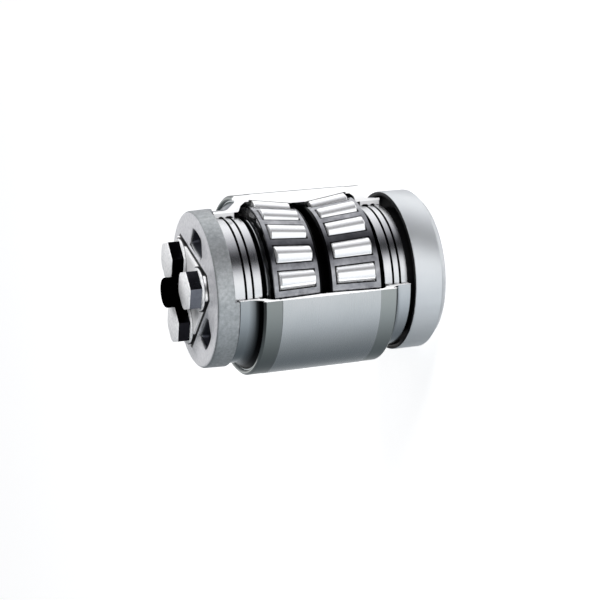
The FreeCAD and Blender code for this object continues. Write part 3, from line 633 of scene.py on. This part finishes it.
def cast_pocket_rims(piece):
    """Wider rounds on the rims of the cap's three pockets, as a casting has them. A rim edge is sharp, and
    both its ends lie on or above the cap's face and within a pocket's outline. The other sharp edges keep
    their own small round, as a share of the wide one."""
    round_off = piece.modifiers["broken_edges"]
    form = bmesh.new()
    form.from_mesh(piece.data)
    weights = form.edges.layers.float.new("bevel_weight_edge")
    turns = [Matrix.Rotation(math.radians(-angle), 3, "Z") for angle in POCKET_ANGLES]
    for edge in form.edges:
        if edge.calc_face_angle(0.0) < SHARP:
            continue
        edge[weights] = round_off.width / POCKET_ROUND
        for turn in turns:
            ends = [turn @ corner.co for corner in edge.verts]
            if all(end.z > CAP_FACE - FACE_SLACK and end.x > POCKET_INNER - RIM_SLACK
                   and end.xy.length < POCKET_RADIUS + RIM_SLACK and abs(end.y) < POCKET_HALF + RIM_SLACK
                   for end in ends):
                edge[weights] = 1.0
    form.to_mesh(piece.data)
    form.free()
    round_off.width = POCKET_ROUND
    round_off.limit_method = "WEIGHT"
    round_off.edge_weight = "bevel_weight_edge"
    round_off.use_clamp_overlap = False


def make_floor():
    """Plain pale floor under the bearing: a wide flat sheet, left out of reflections and shadows."""
    mesh = bpy.data.meshes.new("studio_floor")
    corners = [(-FLOOR_HALF, -FLOOR_HALF, 0), (FLOOR_HALF, -FLOOR_HALF, 0), (FLOOR_HALF, FLOOR_HALF, 0),
               (-FLOOR_HALF, FLOOR_HALF, 0)]
    mesh.from_pydata(corners, [], [(0, 1, 2, 3)])
    floor = bpy.data.objects.new("studio_floor", mesh)
    bpy.context.scene.collection.objects.link(floor)
    material, tree = new_material("floor_paper_matt")
    finish_material(tree, {"Base Color": "#f4f4f4", "Specular IOR Level": 0.0,
                           "Roughness": add(tree, "Mix", {0: grain(tree, 300 * MM, 2.0), 2: 0.85, 3: 0.95}),
                           "Emission Color": "#ffffff", "Emission Strength": FLOOR_GLOW})
    mesh.materials.append(material)
    floor.visible_glossy = False
    floor.visible_shadow = False


def make_surround():
    """World light that depends on the direction about the axis, angle = atan2(y, x), under a dark ceiling."""
    world = bpy.data.worlds.new("studio_surround")
    world.use_nodes = True
    tree = world.node_tree
    tree.nodes.clear()
    x, y, z = add(tree, "SeparateXYZ", [add(tree, "TexCoord", out="Generated")]).node.outputs
    angle = add(tree, "Math", [y, x], operation="ARCTAN2")
    turn = add(tree, "MapRange", {"Value": angle, "From Min": -math.pi, "From Max": math.pi})
    colour = add(tree, "ValToRGB", [turn])
    stops = colour.node.color_ramp.elements
    while len(stops) < len(SURROUND):
        stops.new(0.5)
    for stop, (degrees, shade) in zip(stops, SURROUND):
        stop.position = (degrees + 180) / 360
        stop.color = linear(shade)
    strength = add(tree, "MapRange", {"Value": z, "From Min": CEILING[0], "From Max": CEILING[1],
                                      "To Min": SURROUND_STRENGTH, "To Max": CEILING_STRENGTH})
    sky = add(tree, "Background", {"Color": colour, "Strength": strength})
    add(tree, "OutputWorld", {"Surface": sky})
    bpy.context.scene.world = world


def make_lamp(name, place, size, power):
    """Soft square lamp that faces the cup's middle. Polished steel mirrors the surround, not the lamp."""
    lamp = bpy.data.lights.new(name, "AREA")
    lamp.size = size
    lamp.energy = power
    holder = bpy.data.objects.new(name, lamp)
    place = Vector(place)
    turn = (place - Vector((0, 0, MIDDLE))).to_track_quat("Z", "Y")
    holder.matrix_world = Matrix.Translation(place) @ turn.to_matrix().to_4x4()
    holder.visible_camera = False
    holder.visible_glossy = False
    bpy.context.scene.collection.objects.link(holder)


def make_camera():
    """Camera at the photograph's place, rolled so that the axis lies across the picture."""
    data = bpy.data.cameras.new("photo_camera")
    data.lens = CAMERA_LENS
    data.sensor_width = CAMERA_SENSOR
    camera = bpy.data.objects.new("photo_camera", data)
    right = CAMERA_ASPECT.cross(CAMERA_UP).normalized()
    up = right.cross(CAMERA_ASPECT).normalized()
    turn = Matrix((right, up, -CAMERA_ASPECT.normalized())).transposed()
    camera.matrix_world = Matrix.Translation(CAMERA_PLACE) @ turn.to_4x4()
    bpy.context.scene.collection.objects.link(camera)
    bpy.context.scene.camera = camera


finishes = dress_nodes()
for side in (1, -1):
    make_seal_case(side, finishes["seal_case"])
    make_seal_lip(side, finishes["seal_lip"])
for number in (1, 2, 3):
    break_edges("cap_screw_%d" % number, "edged", "inner_stack", finishes["cap_screw"],
                SCREW_EDGE)
break_edges("locking_plate", "edged", "inner_stack", finishes["locking_plate"], PLATE_EDGE)
break_edges("backing_ring", "edged", "inner_stack", finishes["backing_ring"], BACKING_EDGE)
cap = break_edges("end_cap", "cast", "inner_stack", finishes["end_cap"], CAP_EDGE)
cast_pocket_rims(cap)
make_floor()
make_surround()
for name, place, size, power in LAMPS:
    make_lamp(name, place, size, power)
make_camera()
bpy.context.scene.view_settings.view_transform = "Standard"
